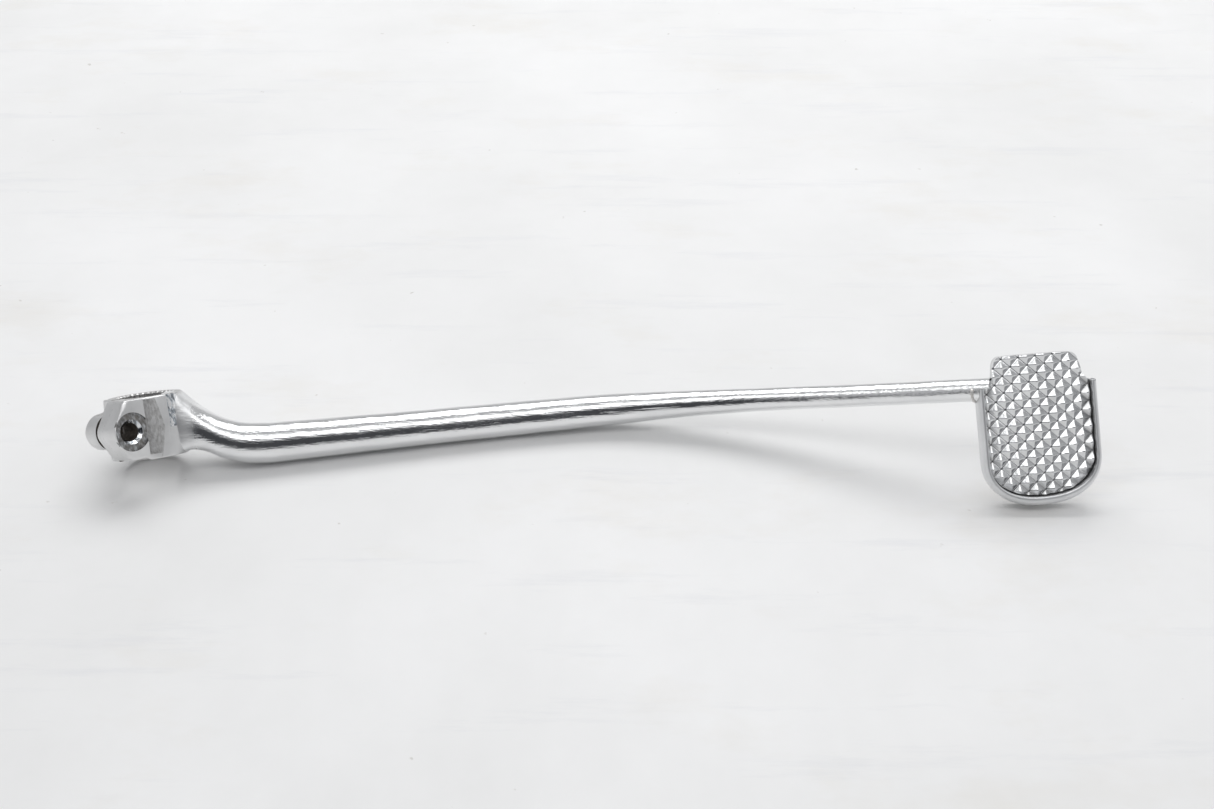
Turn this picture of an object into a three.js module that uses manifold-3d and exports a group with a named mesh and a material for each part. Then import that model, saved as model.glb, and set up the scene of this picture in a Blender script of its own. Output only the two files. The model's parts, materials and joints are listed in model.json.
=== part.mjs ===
// Motorcycle foot lever: a splined pinch clamp, a tapered cranked arm and a serrated foot pad.
//
// The lever is drawn in its working frame, in millimetres:
//   +X runs from the shaft to the foot pad, +Z is the shaft's axis, and the foot presses along +Y.
// The last section then lays it down the way it comes to rest on a bench: on the far lower edge of
// the clamp, on the outside of the arm's bend and on the lower edge of the pad.

import * as THREE from 'three';
import { mergeVertices } from 'three/addons/utils/BufferGeometryUtils.js';
import Module from 'manifold-3d';

const wasm = await Module();
wasm.setup();

// ---- driving dimensions ----------------------------------------------------------------------

const GAP = 0.3; // air left between pieces that touch on the real lever
const PAST = 2; // how far a cutter runs past the face that it cuts
const FAR = 60; // size of a rough block, larger than any piece where it is cut

const SHAFT = {
  radius: 10.2, // to the roots of the serrations
  teeth: 32,
  toothDepth: 0.85,
  // where the corners of one tooth fall, in shares of the pitch
  land: [0, 0.22],
  groove: [0.4, 0.82],
};
const CLAMP = {
  height: 22.5,
  waistRadius: 13.9, // at the forging's parting line, half way up
  endRadius: 13.4, // at the two machined ends
  edge: 0.7, // rounding of the end edges
  partingLine: { half: 0.8, worn: 0.15 }, // the ridge at the waist is polished down a little
  slit: 1.8,
};
const EARS = {
  turn: 226, // direction in which the slit opens, degrees from +X about +Z
  draft: 1.4, // how much each cheek leans in from the parting line to the end faces
  floor: -10.2, // the ears stop short of the clamp's lower end face
  cheek: { near: 13.3, far: 8.5 }, // outside of each ear from the slit plane
  nose: { reach: 21.4, radius: 5.0, lean: 30 }, // near ear: a blunt wedge
  lug: { radius: 6.6, end: 12.4, bevel: [0.4, 0.8] }, // far ear: a round lug on a square end
};
const PINCH_BOLT = {
  along: 14.2, // from the shaft's axis, out through the slit
  clearance: 6.7,
  tapping: 5.2,
  seat: 13.9,
  seatLevel: 11.7, // from the slit plane
  chamfer: 1.1,
};
// milled flat beside the bolt head: direction it faces, distance from the shaft axis, extents
const FLAT = { turn: -70, distance: 13.2, across: [-2.1, 8], tall: [-9.3, 10.6] };
const NECK = {
  width: 16,
  draft: 1.5,
  side: 0.7, // the lug sits this far off the shaft axis, towards the arm's own line
  top: 12.0, // how far the end faces run out along the lug
  bottom: 9.0,
  lugFace: 15.3,
  lugTop: 7.8,
  lugBottom: -10.2,
  weldEnd: 17.0,
};

const ARM = {
  // centre line, clamp to pad: a short joggle off the clamp, then one long flat bow
  route: [
    [10.0, 0.8, 0.8],
    [14.3, 1.5, -1.0],
    [18.5, 2.1, -3.6],
    [24.5, 3.0, -7.6],
    [32.0, 4.2, -10.7],
    [42.0, 5.7, -12.2],
    [90.0, 13.4, -13.8],
    [140.0, 20.6, -15.4],
    [165.0, 22.6, -16.1],
    [195.0, 19.3, -16.8],
    [225.0, 11.6, -17.6],
    [260.0, -1.8, -18.6],
    [306.0, -23.5, -19.2],
  ],
  // radius at distances along X
  taper: [
    [10, 9.6],
    [14.3, 8.9],
    [20, 7.2],
    [34, 7.6],
    [55, 7.3],
    [95, 6.65],
    [145, 6.3],
    [170, 5.9],
    [200, 4.85],
    [225, 4.3],
    [260, 4.1],
    [306, 4.1],
  ],
  sides: 20,
  stations: 56,
  crowding: 1.4, // above 1 the stations bunch up at the joggle
};

const PAD = {
  centre: [319.2, -25.0, -18.5], // middle of the rim's face, level with the rim's two upper ends
  depth: 8.0,
  floor: 2.0,
  halfWidth: 21.2,
  bottom: 44.1,
  straight: 26.5, // length of the straight sides below the rim's ends
  bluntness: 2.3, // exponent of the rounded lower end: 2 is an ellipse, higher is squarer
  wall: 1.6, // rim at the sides
  sill: 2.9, // rim at the lower end
  skew: 0.035, // the rim's ends and the tongue's top edge fall away this much towards +X
  backing: { inset: 0.5, tongueInset: 1.5 }, // the floor's outline inside the rim's and the tread's
};
const TREAD = {
  clearance: 0.5,
  // the tongue's two sides, outwards from its middle: [distance, height above the rim's ends]
  left: [[11.6, 10.9], [13.6, 10.3], [14.9, 8.4], [15.4, 2.8], [16.6, 1.3]],
  right: [[12.2, 10.9], [14.2, 10.3], [15.5, 8.4], [16.4, 3.4], [17.6, 1.5]],
  back: 5.7, // rim's face down to the underside of the plate
  valley: 2.6, // rim's face down to the bottom of the grooves at the plate's middle
  camber: 1.0, // how much lower the plate's edge lies than its middle
  toothHalfDiagonal: 3.0,
  toothPhase: [0.24, 0.53], // where one groove crossing lies, from the middle of the rim's ends
  toothHeight: 1.5,
  columns: 16,
  rows: { above: 7, below: 15 }, // counted from the middle of the rim's ends
  shoulder: 8, // height above the rim's ends at which the tongue's top begins
  crown: { height: -14, halfLength: 30, lengthways: 0.6, most: 1.4 }, // where and how the camber runs
};
const PLUG = { radius: 3.2, spacing: 22, lower: -28 };
const PAD_WELD = { throat: 1.5, length: 2.6, steps: 400 };

// ---- finishes --------------------------------------------------------------------------------

const finishes = {
  chrome: { color: 0xd9dbdd, roughness: 0.12, metalness: 1 },
  chromedForging: { color: 0xc9cacb, roughness: 0.3, metalness: 1 },
  chromedWeld: { color: 0xb5b0a8, roughness: 0.4, metalness: 1 },
};

// ---- helpers ---------------------------------------------------------------------------------

const v2 = (x, y) => new THREE.Vector2(x, y);
const v3 = (x, y, z) => new THREE.Vector3(x, y, z);

/** Closed geometry to an exact solid: shared points are merged and sliver triangles dropped. */
function solid(geometry, matrix = new THREE.Matrix4()) {
  const bare = geometry.clone().applyMatrix4(matrix);
  bare.deleteAttribute('normal');
  bare.deleteAttribute('uv');
  const merged = mergeVertices(bare, 1e-4);
  const index = [...merged.index.array];
  const kept = [];
  for (let i = 0; i < index.length; i += 3) {
    const [a, b, c] = index.slice(i, i + 3);
    if (a !== b && b !== c && c !== a) kept.push(a, b, c);
  }
  const vertProperties = new Float32Array(merged.attributes.position.array);
  return new wasm.Manifold(new wasm.Mesh({ numProp: 3, vertProperties, triVerts: new Uint32Array(kept) }));
}

/** One named piece of the lever. */
function piece(name, body, finish) {
  const { vertProperties, triVerts } = body.getMesh();
  const geometry = new THREE.BufferGeometry();
  geometry.setAttribute('position', new THREE.BufferAttribute(new Float32Array(vertProperties), 3));
  geometry.setIndex(new THREE.BufferAttribute(new Uint32Array(triVerts), 1));
  geometry.computeVertexNormals();
  const mesh = new THREE.Mesh(geometry, new THREE.MeshStandardMaterial(finishes[finish]));
  mesh.name = name;
  return mesh;
}

const extrude = (shape, depth, curveSegments = 8) =>
  new THREE.ExtrudeGeometry(shape, { depth, bevelEnabled: false, curveSegments });

/** Axis-aligned block from its lowest to its highest corner. */
function block(low, high) {
  const size = v3(...high).sub(v3(...low));
  const middle = v3(...high).add(v3(...low)).multiplyScalar(0.5);
  return solid(new THREE.BoxGeometry(size.x, size.y, size.z).translate(middle.x, middle.y, middle.z));
}

/** Value at x on a polyline of [x, value] knots. */
function along(knots, x) {
  const i = Math.min(Math.max(knots.findIndex(([k]) => k > x), 1), knots.length - 1);
  const [x0, y0] = knots[i - 1];
  const [x1, y1] = knots[i];
  return THREE.MathUtils.lerp(y0, y1, THREE.MathUtils.clamp((x - x0) / (x1 - x0), 0, 1));
}

// ---- clamp -----------------------------------------------------------------------------------

const half = CLAMP.height / 2;
const earTurn = THREE.MathUtils.degToRad(EARS.turn);
const slitward = v3(Math.cos(earTurn), Math.sin(earTurn), 0); // out through the slit
const boltward = v3(-Math.sin(earTurn), Math.cos(earTurn), 0); // towards the bolt's head
const shaftward = v3(0, 0, 1);

/** Side view of the near ear: two flanks that meet in a round nose. */
function noseProfile() {
  const { reach, radius } = EARS.nose;
  const lean = THREE.MathUtils.degToRad(EARS.nose.lean);
  const tip = v2(reach - radius, 0);
  const shoulder = tip.x + radius * Math.cos(lean);
  const rise = radius * Math.sin(lean);
  const side = new THREE.Shape();
  side.moveTo(0, EARS.floor);
  side.lineTo(shoulder - (-EARS.floor - rise) * Math.tan(lean), EARS.floor);
  side.absarc(tip.x, tip.y, radius, -lean, lean, false);
  side.lineTo(shoulder - (half - rise) * Math.tan(lean), half);
  side.lineTo(0, half);
  return side;
}

/** Side view of the far ear: a square end with a round lug about the bolt. */
function lugProfile() {
  const { radius, end, bevel } = EARS.lug;
  const lean = Math.acos((PINCH_BOLT.along - end) / radius) - Math.PI / 2;
  const side = new THREE.Shape();
  side.moveTo(0, EARS.floor);
  side.lineTo(end - bevel[0], EARS.floor);
  side.lineTo(end, EARS.floor + bevel[1]);
  side.absarc(PINCH_BOLT.along, 0, radius, lean - Math.PI / 2, Math.PI / 2 - lean, false);
  side.lineTo(end, half - bevel[1]);
  side.lineTo(end - bevel[0], half);
  side.lineTo(0, half);
  return side;
}

/** One ear: its side view carried along the bolt, with a cheek drafted to the parting line. */
function ear(side, cheek, sign) {
  const toSlitPlane = new THREE.Matrix4().makeBasis(slitward, shaftward, boltward.clone().negate());
  const sideways = extrude(side, 2 * cheek, 10).translate(0, 0, -cheek);
  const lip = half + PAST;
  const section = new THREE.Shape([
    v2(0, -lip),
    v2(cheek - EARS.draft, -lip),
    v2(cheek, 0),
    v2(cheek - EARS.draft, lip),
    v2(0, lip),
  ]);
  const toEnd = new THREE.Matrix4().makeBasis(
    boltward.clone().multiplyScalar(sign),
    shaftward.clone().multiplyScalar(sign),
    slitward,
  );
  return solid(sideways, toSlitPlane).intersect(solid(extrude(section, FAR), toEnd));
}

/** Forged barrel: two shallow cones that meet at the parting line. */
function barrel() {
  const { half: ridge, worn } = CLAMP.partingLine;
  const outline = [
    v2(0, -half),
    v2(CLAMP.endRadius - CLAMP.edge, -half),
    v2(CLAMP.endRadius, CLAMP.edge - half),
    v2(CLAMP.waistRadius - worn, -ridge),
    v2(CLAMP.waistRadius - worn, ridge),
    v2(CLAMP.endRadius, half - CLAMP.edge),
    v2(CLAMP.endRadius - CLAMP.edge, half),
    v2(0, half),
  ];
  return solid(new THREE.LatheGeometry(outline, 72).rotateX(Math.PI / 2));
}

/** Lug on the arm's side of the barrel: ridged along the parting line, falling away to the weld. */
function lug() {
  const middle = NECK.width / 2;
  const end = new THREE.Shape([
    v2(middle, 0),
    v2(middle - NECK.draft, half),
    v2(NECK.draft - middle, half),
    v2(-middle, 0),
    v2(NECK.draft - middle, -half),
    v2(middle - NECK.draft, -half),
  ]);
  const side = new THREE.Shape([
    v2(0, -half),
    v2(NECK.bottom, -half),
    v2(NECK.lugFace + PAST, NECK.lugBottom),
    v2(NECK.lugFace + PAST, NECK.lugTop),
    v2(NECK.top, half),
    v2(0, half),
  ]);
  const toEnd = new THREE.Matrix4().makeBasis(v3(0, 1, 0), v3(0, 0, 1), v3(1, 0, 0));
  const toSide = new THREE.Matrix4().makeBasis(v3(1, 0, 0), v3(0, 0, 1), v3(0, -1, 0));
  const lengthways = solid(extrude(end, NECK.lugFace + PAST), toEnd.setPosition(0, NECK.side, 0));
  return lengthways.intersect(solid(extrude(side, FAR).translate(0, 0, -FAR / 2), toSide));
}

/** Square-topped serrations of the shaft hole, cut right through. */
function splineCutter() {
  const tooth = (2 * Math.PI) / SHAFT.teeth;
  const root = SHAFT.radius;
  const tip = SHAFT.radius - SHAFT.toothDepth;
  const outline = [];
  const corner = (turns, radius) => outline.push(v2(radius, 0).rotateAround(v2(0, 0), turns * tooth));
  for (let i = 0; i < SHAFT.teeth; i += 1) {
    SHAFT.land.forEach((share) => corner(i + share, tip));
    SHAFT.groove.forEach((share) => corner(i + share, root));
  }
  const tool = extrude(new THREE.Shape(outline), CLAMP.height + 2 * PAST);
  return solid(tool.translate(0, 0, -half - PAST));
}

/** Cylinder along the bolt, between two distances from the slit plane. */
function boltCylinder(radiusOut, radiusIn, from, to, sides = 32) {
  const shape = new THREE.CylinderGeometry(radiusOut, radiusIn, to - from, sides);
  const place = new THREE.Matrix4().makeBasis(shaftward, boltward, shaftward.clone().cross(boltward));
  const middle = slitward.clone().multiplyScalar(PINCH_BOLT.along);
  middle.addScaledVector(boltward, (from + to) / 2);
  return solid(shape, place.setPosition(middle));
}

/** Milled flat on the barrel, beside the bolt head. */
function flatCutter() {
  const turn = THREE.MathUtils.degToRad(FLAT.turn);
  const outward = v3(Math.cos(turn), Math.sin(turn), 0);
  const place = new THREE.Matrix4().makeBasis(outward, shaftward.clone().cross(outward), shaftward);
  const [left, right] = FLAT.across;
  const [low, high] = FLAT.tall;
  const shape = new THREE.BoxGeometry(FAR, right - left, high - low);
  const centre = [FLAT.distance + FAR / 2, (left + right) / 2, (low + high) / 2];
  return solid(shape.translate(...centre), place);
}

/** Box given by its extents along slitward, boltward and the shaft. */
function clampBox([s0, s1], [b0, b1], [z0, z1]) {
  const place = new THREE.Matrix4().makeBasis(slitward, boltward, shaftward);
  const shape = new THREE.BoxGeometry(s1 - s0, b1 - b0, z1 - z0);
  return solid(shape.translate((s0 + s1) / 2, (b0 + b1) / 2, (z0 + z1) / 2), place);
}

function clampBoss(neck) {
  const tall = [-half - PAST, half + PAST];
  const hole = PINCH_BOLT.clearance / 2;
  const seat = PINCH_BOLT.seatLevel;
  const tapped = PINCH_BOLT.tapping / 2;
  const beyond = EARS.cheek.near + PAST;
  const ears = ear(noseProfile(), EARS.cheek.near, 1).add(ear(lugProfile(), EARS.cheek.far, -1));
  const forging = barrel().add(ears).add(lug()).add(neck);
  return forging
    .subtract(block([NECK.lugFace, -FAR, -FAR], [FAR, FAR, FAR]))
    .subtract(splineCutter())
    .subtract(flatCutter())
    .subtract(clampBox([0, FAR], [-CLAMP.slit / 2, CLAMP.slit / 2], tall))
    .subtract(boltCylinder(PINCH_BOLT.seat / 2, PINCH_BOLT.seat / 2, seat, beyond, 40))
    .subtract(boltCylinder(hole, hole, 0, beyond))
    .subtract(boltCylinder(hole + PINCH_BOLT.chamfer, hole, seat - PINCH_BOLT.chamfer, seat + 0.01))
    .subtract(boltCylinder(tapped, tapped, -EARS.cheek.far - PAST, 0));
}

// ---- arm -------------------------------------------------------------------------------------

const centreLine = new THREE.CatmullRomCurve3(ARM.route.map((p) => v3(...p)), false, 'centripetal');

/** Tapered bar: a cylinder whose rings are threaded along the centre line. */
function taperedBar() {
  const bar = new THREE.CylinderGeometry(1, 1, 1, ARM.sides, ARM.stations);
  bar.deleteAttribute('normal');
  bar.deleteAttribute('uv');
  const shape = mergeVertices(bar, 1e-4);
  const points = shape.attributes.position;
  for (let i = 0; i < points.count; i += 1) {
    const share = (points.getY(i) + 0.5) ** ARM.crowding;
    const centre = centreLine.getPointAt(share);
    const forward = centreLine.getTangentAt(share);
    const across = forward.clone().cross(shaftward).normalize();
    const upward = across.clone().cross(forward);
    const radius = along(ARM.taper, centre.x);
    centre.addScaledVector(across, points.getX(i) * radius);
    centre.addScaledVector(upward, points.getZ(i) * radius);
    points.setXYZ(i, centre.x, centre.y, centre.z);
  }
  return solid(shape);
}

const bar = taperedBar();
const padLeft = PAD.centre[0] - PAD.halfWidth;

/** Stretch of the bar between two distances along X. */
const barBetween = (from, to) => bar.intersect(block([from, -FAR, -FAR], [to, FAR, FAR]));

const neck = barBetween(0, NECK.lugFace).intersect(block([0, -FAR, -half], [FAR, FAR, half]));

// ---- foot pad --------------------------------------------------------------------------------

const toPad = new THREE.Matrix4()
  .makeBasis(v3(1, 0, 0), v3(0, 0, 1), v3(0, -1, 0))
  .setPosition(...PAD.centre);

/** Right-hand half of the blunt lower end, from the side down to the middle. */
function lowerEnd(halfWidth, bottom, steps = 14) {
  const drop = bottom - PAD.straight;
  const points = [];
  for (let i = 0; i <= steps; i += 1) {
    const angle = (i / steps) * (Math.PI / 2);
    const x = halfWidth * Math.cos(angle) ** (2 / PAD.bluntness);
    const y = -PAD.straight - drop * Math.sin(angle) ** (2 / PAD.bluntness);
    points.push(v2(x, y));
  }
  return points;
}

/** Closed outline from its right-hand and left-hand runs, both from top to bottom and outwards. */
function padOutline(right, left) {
  const skewed = (x, y) => v2(x, y > -1 ? y - PAD.skew * (x + PAD.halfWidth) : y);
  const down = right.map((p) => skewed(p.x, p.y));
  const up = left.filter((p) => p.x > 1e-6).map((p) => skewed(-p.x, p.y)).reverse();
  return new THREE.Shape([...down, ...up].reverse());
}

/** The cup's outline, square across the rim's ends. */
function cupOutline(halfWidth, bottom, top = 0) {
  const side = [v2(halfWidth, top), ...lowerEnd(halfWidth, bottom)];
  return padOutline(side, side);
}

/** Outline with a tongue above the rim's ends, drawn in from the tread's own by an inset. */
function tongueOutline(halfWidth, bottom, inset) {
  const run = (side) => [
    ...side.map(([x, y]) => v2(x - inset, y > TREAD.shoulder ? y - 2 * inset : y)),
    v2(halfWidth, 0),
    ...lowerEnd(halfWidth, bottom),
  ];
  return padOutline(run(TREAD.right), run(TREAD.left));
}

const rimInner = PAD.halfWidth - PAD.wall;
const rimInnerBottom = PAD.bottom - PAD.sill;

/** Slab of an outline between two depths under the rim's face. */
const padSlab = (outline, from, to) => solid(extrude(outline, to - from).translate(0, 0, -to), toPad);

const plugCentres = [v2(0, PLUG.lower + PLUG.spacing), v2(0, PLUG.lower)];

function plugCylinder(centre, radius, from, to) {
  const shape = new THREE.CylinderGeometry(radius, radius, to - from, 24).rotateX(Math.PI / 2);
  return solid(shape.translate(centre.x, centre.y, -(from + to) / 2), toPad);
}

/** Pressed cup: a floor behind the tread and a rim round its sides and lower end. */
function padShell() {
  const floor = PAD.depth - PAD.floor;
  const { inset, tongueInset } = PAD.backing;
  const backingOutline = tongueOutline(PAD.halfWidth - inset, PAD.bottom - inset, tongueInset);
  const wall = padSlab(cupOutline(PAD.halfWidth, PAD.bottom), 0, PAD.depth);
  const pocket = padSlab(cupOutline(rimInner, rimInnerBottom, FAR), -PAST, floor);
  let shell = wall.subtract(pocket).add(padSlab(backingOutline, floor, PAD.depth));
  for (const centre of plugCentres) {
    shell = shell.subtract(plugCylinder(centre, PLUG.radius + GAP, floor - PAST, PAD.depth + PAST));
  }
  return shell;
}

/** Slab whose face is a field of square pyramids standing on their corners, on a cambered base. */
function serratedSlab() {
  const step = TREAD.toothHalfDiagonal;
  const { columns, crown } = TREAD;
  const rows = TREAD.rows.above + TREAD.rows.below;
  const positions = [];
  const index = [];
  const level = (x, y) => {
    const crossways = x / PAD.halfWidth;
    const lengthways = (y - crown.height) / crown.halfLength;
    const fall = crossways ** 2 + crown.lengthways * lengthways ** 2;
    return -TREAD.valley - TREAD.camber * Math.min(fall, crown.most);
  };
  const at = (i, j, layer) => layer * (columns + 1) * (rows + 1) + j * (columns + 1) + i;
  for (const layer of [0, 1]) {
    for (let j = 0; j <= rows; j += 1) {
      for (let i = 0; i <= columns; i += 1) {
        const x = (i - columns / 2) * step + TREAD.toothPhase[0];
        const y = (j - TREAD.rows.below) * step + TREAD.toothPhase[1];
        const peak = (i + j) % 2 === 0 ? TREAD.toothHeight : 0;
        positions.push(x, y, layer ? level(x, y) + peak : -TREAD.back);
      }
    }
  }
  const quad = (a, b, c, d) => index.push(a, b, c, a, c, d);
  for (let j = 0; j < rows; j += 1) {
    for (let i = 0; i < columns; i += 1) {
      const ring = [at(i, j, 1), at(i + 1, j, 1), at(i + 1, j + 1, 1), at(i, j + 1, 1)];
      // the split runs from groove corner to groove corner, so that it is a valley line
      if ((i + j) % 2 === 0) ring.push(ring.shift());
      quad(...ring);
      quad(at(i, j, 0), at(i, j + 1, 0), at(i + 1, j + 1, 0), at(i + 1, j, 0));
    }
  }
  for (let i = 0; i < columns; i += 1) {
    quad(at(i, 0, 0), at(i + 1, 0, 0), at(i + 1, 0, 1), at(i, 0, 1));
    quad(at(i + 1, rows, 0), at(i, rows, 0), at(i, rows, 1), at(i + 1, rows, 1));
  }
  for (let j = 0; j < rows; j += 1) {
    quad(at(0, j + 1, 0), at(0, j, 0), at(0, j, 1), at(0, j + 1, 1));
    quad(at(columns, j, 0), at(columns, j + 1, 0), at(columns, j + 1, 1), at(columns, j, 1));
  }
  const slab = new THREE.BufferGeometry();
  slab.setAttribute('position', new THREE.Float32BufferAttribute(positions, 3));
  slab.setIndex(index);
  return solid(slab, toPad);
}

function treadPlate() {
  const halfWidth = rimInner - TREAD.clearance;
  const bottom = rimInnerBottom - TREAD.clearance;
  return serratedSlab().intersect(padSlab(tongueOutline(halfWidth, bottom, 0), 0, PAD.depth));
}

/** Fillet of weld round the arm's end, against the side of the cup. */
function padWeld() {
  const { throat, length, steps } = PAD_WELD;
  const samples = centreLine.getSpacedPoints(steps);
  const share = samples.findIndex((p) => p.x > padLeft - length) / steps;
  const centre = centreLine.getPointAt(share);
  const forward = centreLine.getTangentAt(share);
  const radius = along(ARM.taper, centre.x) + GAP;
  const reach = 3 * length;
  const outline = [v2(radius, 0), v2(radius + throat, reach), v2(radius, reach)];
  const ring = new THREE.LatheGeometry([...outline, outline[0]], 28);
  const turn = new THREE.Quaternion().setFromUnitVectors(v3(0, 1, 0), forward);
  const place = new THREE.Matrix4().compose(centre, turn, v3(1, 1, 1));
  return solid(ring, place).intersect(block([0, -FAR, -FAR], [padLeft - GAP, FAR, FAR]));
}

// ---- assembly --------------------------------------------------------------------------------

const lever = new THREE.Group();
lever.add(piece('clamp_boss', clampBoss(neck), 'chromedForging'));
lever.add(piece('boss_weld', barBetween(NECK.lugFace + GAP, NECK.weldEnd), 'chromedWeld'));
lever.add(piece('lever_arm', barBetween(NECK.weldEnd + GAP, padLeft - GAP), 'chrome'));
lever.add(piece('pad_shell', padShell(), 'chrome'));
lever.add(piece('pad_weld', padWeld(), 'chromedWeld'));
lever.add(piece('tread_plate', treadPlate(), 'chromedForging'));
['upper', 'lower'].forEach((place, i) => {
  const plug = plugCylinder(plugCentres[i], PLUG.radius, TREAD.back + GAP, PAD.depth);
  lever.add(piece(`tread_plug_${place}`, plug, 'chromedWeld'));
});

// ---- lying on a bench ------------------------------------------------------------------------

const LEAN = THREE.MathUtils.degToRad(28.5); // the shaft axis leans back this much
const ROLL = THREE.MathUtils.degToRad(6.5); // and the pad end is raised this much
const VIEW = THREE.MathUtils.degToRad(35); // the roll is about an axis this far above the bench

const lean = new THREE.Quaternion().setFromAxisAngle(v3(1, 0, 0), -LEAN);
const roll = new THREE.Quaternion().setFromAxisAngle(v3(0, -Math.cos(VIEW), Math.sin(VIEW)), ROLL);
lever.quaternion.copy(roll.multiply(lean));

const resting = new THREE.Group();
resting.add(lever);
resting.updateMatrixWorld(true);
const extent = new THREE.Box3().setFromObject(resting, true);
const middle = extent.getCenter(v3(0, 0, 0));
lever.position.set(-middle.x, -middle.y, -extent.min.z);

export default resting;
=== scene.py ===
"""Chromed foot lever of a motorcycle, lying on a pale bench.

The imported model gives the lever's size and place. Every visible piece is worked out here again, finer:
its points are computed in the lever's working frame, in millimetres, and then laid down on the bench.
Working frame: +X from the shaft to the foot pad, +Z along the shaft, and the foot presses along +Y.
"""

import json
import math

import bpy
import bmesh
import numpy as np
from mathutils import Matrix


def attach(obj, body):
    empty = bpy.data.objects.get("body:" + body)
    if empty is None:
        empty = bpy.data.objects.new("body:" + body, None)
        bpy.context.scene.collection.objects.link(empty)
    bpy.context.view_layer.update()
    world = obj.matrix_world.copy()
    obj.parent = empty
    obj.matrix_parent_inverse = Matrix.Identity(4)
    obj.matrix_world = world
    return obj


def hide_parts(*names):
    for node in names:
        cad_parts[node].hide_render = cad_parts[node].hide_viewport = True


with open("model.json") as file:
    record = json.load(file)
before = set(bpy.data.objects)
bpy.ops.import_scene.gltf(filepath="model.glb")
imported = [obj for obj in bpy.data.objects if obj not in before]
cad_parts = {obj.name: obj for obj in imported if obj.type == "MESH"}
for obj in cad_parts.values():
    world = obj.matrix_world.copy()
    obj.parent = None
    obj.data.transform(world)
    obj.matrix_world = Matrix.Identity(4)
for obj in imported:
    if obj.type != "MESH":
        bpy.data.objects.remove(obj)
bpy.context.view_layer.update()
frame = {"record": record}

# ---- how the lever lies ------------------------------------------------------------------------

# how far the shaft leans back, how far the arm rolls, and how far down the roll's axis points
LEAN, ROLL, SIGHT = np.radians([28.5, 6.5, 35.0])
BORE = next(m for m in frame["record"]["mounts"] if m["name"] == "splined_bore")


def turn_about(axis, angle):
    """Rotation matrix about a unit axis: I + sin(angle) K + (1 - cos(angle)) K squared."""
    x, y, z = axis
    k = np.array([[0, -z, y], [z, 0, -x], [-y, x, 0]])
    return np.eye(3) + math.sin(angle) * k + (1 - math.cos(angle)) * k @ k


TURN = turn_about((0, -math.cos(SIGHT), math.sin(SIGHT)), ROLL) @ turn_about((1, 0, 0), -LEAN)
ORIGIN = np.array(BORE["pos_m"])


def laid(points):
    """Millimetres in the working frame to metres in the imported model's frame."""
    return ORIGIN + np.asarray(points) @ TURN.T / 1000


# ---- sizes, in millimetres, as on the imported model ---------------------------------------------

HALF = 11.25  # half the clamp's height
WAIST, END = 13.9, 13.4  # barrel radius at the parting line and at its ends
SLIT = math.radians(226)  # which way the slit runs out from the shaft
SLIT_WIDTH = 1.8
CHEEK = {"near": 13.3, "far": 8.5}  # from the slit's middle to each ear's outer face
DRAFT = 1.4  # how much thinner a cheek is at its ends than at the parting line
NOSE = {"tip": 16.5, "radius": 5.0, "lean": math.radians(30)}  # blunt end of the near ear
LUG = {"least": 12.4, "radius": 6.9, "step": 1.2, "edge": 0.7}  # round end of the far ear
# bolt: distance from the shaft, radii of its hole and seat, the seat's level and the hole's chamfer
BOLT = {"along": 14.2, "hole": 3.35, "seat": 6.95, "level": 11.7, "chamfer": 1.1}
THREAD = {"root": 2.5, "depth": 0.45, "pitch": 1.0, "from": -13.5, "to": -0.5}
SPLINE = {"root": 10.2, "tip": 9.35, "teeth": 32}
FLAT = {"turn": math.radians(-70), "distance": 13.3, "across": (-2.1, 8), "tall": (-9.3, 10.6)}

SLITWARD = np.array([math.cos(SLIT), math.sin(SLIT), 0])
BOLTWARD = np.array([-math.sin(SLIT), math.cos(SLIT), 0])
SHAFTWARD = np.array([0, 0, 1.0])
FLATWARD = np.array([math.cos(FLAT["turn"]), math.sin(FLAT["turn"]), 0])

# ---- mesh helpers ------------------------------------------------------------------------------


def smoothstep(low, high, x):
    """0 below low, 1 above high, 3t^2 - 2t^3 between them."""
    t = np.clip((np.asarray(x, float) - low) / (high - low), 0, 1)
    return t * t * (3 - 2 * t)


def soft_max(a, b, radius):
    """The larger of two values, with the corner between them filled by a fillet of that radius."""
    h = np.clip(radius - np.abs(a - b), 0, None) / radius
    return np.maximum(a, b) + h * h * radius / 4


def soft_min(a, b, radius):
    """The smaller of two values, with the corner between them rounded to that radius."""
    return -soft_max(-a, -b, radius)


def ripples(u, v, seed, count, pitch_u, pitch_v):
    """Sum of sine waves of random direction, phase and pitch near the given ones, about -1 to 1."""
    rng = np.random.default_rng(seed)
    total = np.zeros(np.broadcast(u, v).shape)
    for _ in range(count):
        ku, kv = rng.normal(0, 1 / pitch_u), rng.normal(0, 1 / pitch_v)
        total = total + np.sin(2 * math.pi * (ku * u + kv * v + rng.random()))
    return total / math.sqrt(count)


def grid_faces(rows, columns, wrap_rows, wrap_columns):
    """Quads of a grid whose points are numbered row by row."""
    i = np.arange(rows if wrap_rows else rows - 1)[:, None]
    j = np.arange(columns if wrap_columns else columns - 1)[None, :]
    i1, j1 = (i + 1) % rows, (j + 1) % columns
    corners = (i * columns + j, i * columns + j1, i1 * columns + j1, i1 * columns + j)
    return np.stack(np.broadcast_arrays(*corners), -1).reshape(-1, 4)


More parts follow.
